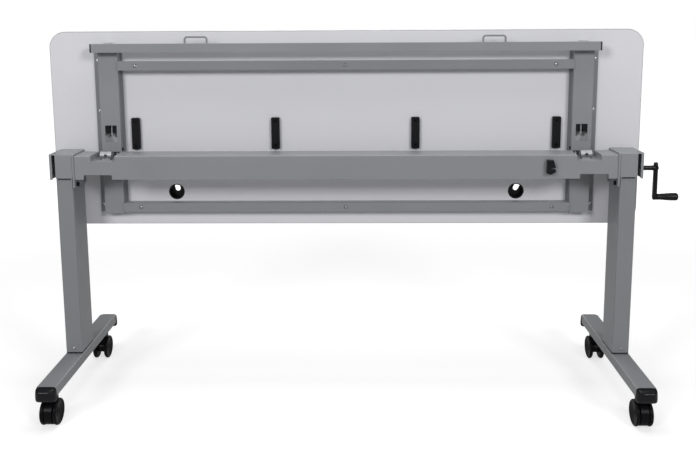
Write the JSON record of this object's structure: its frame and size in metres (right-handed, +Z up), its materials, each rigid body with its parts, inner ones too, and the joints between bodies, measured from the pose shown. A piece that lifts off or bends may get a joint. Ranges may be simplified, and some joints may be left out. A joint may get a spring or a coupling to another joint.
{
  "type": "flip top training table",
  "caption": "Office training table whose top flips upright for storage, on crank lifted columns joined by a beam, with T feet on twin wheel casters.",
  "frame": {"origin": "on the floor under the centre of the overall box, which the crank makes wider on the right", "axes": "+X to the crank's side along the table, +Y from the user to the far side, +Z up"},
  "size_m": [1.9276, 0.602, 1.1165],
  "materials": {
    "steel_paint": "silver grey powder coat",
    "laminate": "light grey laminate on board",
    "edge_plastic": "grey edge band",
    "black_plastic": "black moulded",
    "caster_black": "black nylon",
    "black_metal": "black coated steel",
    "zinc": "bright zinc plated",
    "brass_nut": "plain bronze"
  },
  "bodies": {
    "undercarriage": {"foot_left": "steel_paint", "foot_right": "steel_paint", "foot_caps": "black_plastic", "leg_left": "steel_paint", "leg_right": "steel_paint", "leg_sliders": "black_plastic", "leg_nuts": "brass_nut", "foot_fasteners": "zinc", "caster_stems": "zinc"},
    "carriage": {"column_left": "steel_paint", "column_right": "steel_paint", "head_left": "steel_paint", "head_right": "steel_paint", "glide_bushes": "black_plastic", "column_screws": "zinc", "gearboxes": "zinc", "shaft_bushes": "brass_nut", "crossbeam": "steel_paint", "beam_end_plates": "steel_paint", "beam_bolts": "black_metal", "hinge_brackets": "steel_paint", "strike_blocks": "zinc", "crank_clip": "black_plastic", "small_screws": "zinc"},
    "crank": {"cross_shaft": "zinc", "shaft_gears": "zinc", "crank_arm": "black_metal", "crank_pins": "zinc"},
    "grip": {"crank_grip": "black_plastic"},
    "screw_left": {"leadscrew_left": "zinc", "screw_gear_left": "zinc"},
    "screw_right": {"leadscrew_right": "zinc", "screw_gear_right": "zinc"},
    "top": {"desktop": "laminate", "edge_band": "edge_plastic", "channel_left": "steel_paint", "channel_right": "steel_paint", "front_rail": "steel_paint", "rear_rail": "steel_paint", "wood_screws": "zinc", "bumper_strips": "black_plastic", "grommets": "black_plastic", "grommet_caps": "black_plastic", "hinge_plates": "steel_paint", "hinge_bolts": "black_metal", "hinge_pins": "zinc", "latch_guides": "black_plastic"},
    "release": {"release_bar": "steel_paint", "bar_caps": "black_plastic", "pull_loops": "steel_paint", "latch_rods": "zinc", "latch_springs": "zinc"},
    "caster_front_left": {"caster_hood_front_left": "caster_black"},
    "wheels_front_left": {"caster_wheels_front_left": "caster_black"},
    "caster_front_right": {"caster_hood_front_right": "caster_black"},
    "wheels_front_right": {"caster_wheels_front_right": "caster_black"},
    "caster_rear_left": {"caster_hood_rear_left": "caster_black"},
    "wheels_rear_left": {"caster_wheels_rear_left": "caster_black"},
    "caster_rear_right": {"caster_hood_rear_right": "caster_black"},
    "wheels_rear_right": {"caster_wheels_rear_right": "caster_black"}
  },
  "joints": [
    {"name": "lift", "type": "slide", "parent": "undercarriage", "child": "carriage", "axis": [0, 0, 1], "range_m": [0, 0.4]},
    {"name": "crank_turn", "type": "hinge", "parent": "carriage", "child": "crank", "pos_m": [-0.04925, 0, 0.699], "axis": [1, 0, 0], "range_deg": [0, 28801]},
    {"name": "grip_spin", "type": "hinge", "parent": "crank", "child": "grip", "pos_m": [0.93075, 0, 0.6095], "axis": [1, 0, 0], "continuous": true},
    {"name": "screw_left_turn", "type": "hinge", "parent": "carriage", "child": "screw_left", "pos_m": [-0.89325, 0, 0.4], "axis": [0, 0, 1], "range_deg": [0, 28801]},
    {"name": "screw_right_turn", "type": "hinge", "parent": "carriage", "child": "screw_right", "pos_m": [0.79475, 0, 0.4], "axis": [0, 0, 1], "range_deg": [-28801, 0]},
    {"name": "flip", "type": "hinge", "parent": "carriage", "child": "top", "pos_m": [-0.04925, 0.05, 0.7345], "axis": [1, 0, 0], "range_deg": [0, 90]},
    {"name": "release_pull", "type": "slide", "parent": "top", "child": "release", "axis": [0, 0, 1], "range_m": [0, 0.01], "stiffness_N_per_m": 800, "springref_m": -0.02, "deforming": ["latch_springs"]},
    {"name": "swivel_front_left", "type": "hinge", "parent": "undercarriage", "child": "caster_front_left", "pos_m": [-0.89325, -0.23, 0.082], "axis": [0, 0, 1], "continuous": true},
    {"name": "roll_front_left", "type": "hinge", "parent": "caster_front_left", "child": "wheels_front_left", "pos_m": [-0.89325, -0.248, 0.0375], "axis": [1, 0, 0], "continuous": true},
    {"name": "swivel_front_right", "type": "hinge", "parent": "undercarriage", "child": "caster_front_right", "pos_m": [0.79475, -0.23, 0.082], "axis": [0, 0, 1], "continuous": true},
    {"name": "roll_front_right", "type": "hinge", "parent": "caster_front_right", "child": "wheels_front_right", "pos_m": [0.79475, -0.248, 0.0375], "axis": [1, 0, 0], "continuous": true},
    {"name": "swivel_rear_left", "type": "hinge", "parent": "undercarriage", "child": "caster_rear_left", "pos_m": [-0.89325, 0.23, 0.082], "axis": [0, 0, 1], "continuous": true},
    {"name": "roll_rear_left", "type": "hinge", "parent": "caster_rear_left", "child": "wheels_rear_left", "pos_m": [-0.89325, 0.212, 0.0375], "axis": [1, 0, 0], "continuous": true},
    {"name": "swivel_rear_right", "type": "hinge", "parent": "undercarriage", "child": "caster_rear_right", "pos_m": [0.79475, 0.23, 0.082], "axis": [0, 0, 1], "continuous": true},
    {"name": "roll_rear_right", "type": "hinge", "parent": "caster_rear_right", "child": "wheels_rear_right", "pos_m": [0.79475, 0.212, 0.0375], "axis": [1, 0, 0], "continuous": true}
  ],
  "couplings": [
    {"joint": "crank_turn", "follows": "lift", "rad_per_m": 1256.6},
    {"joint": "screw_left_turn", "follows": "lift", "rad_per_m": 1256.6},
    {"joint": "screw_right_turn", "follows": "lift", "rad_per_m": -1256.6}
  ]
}
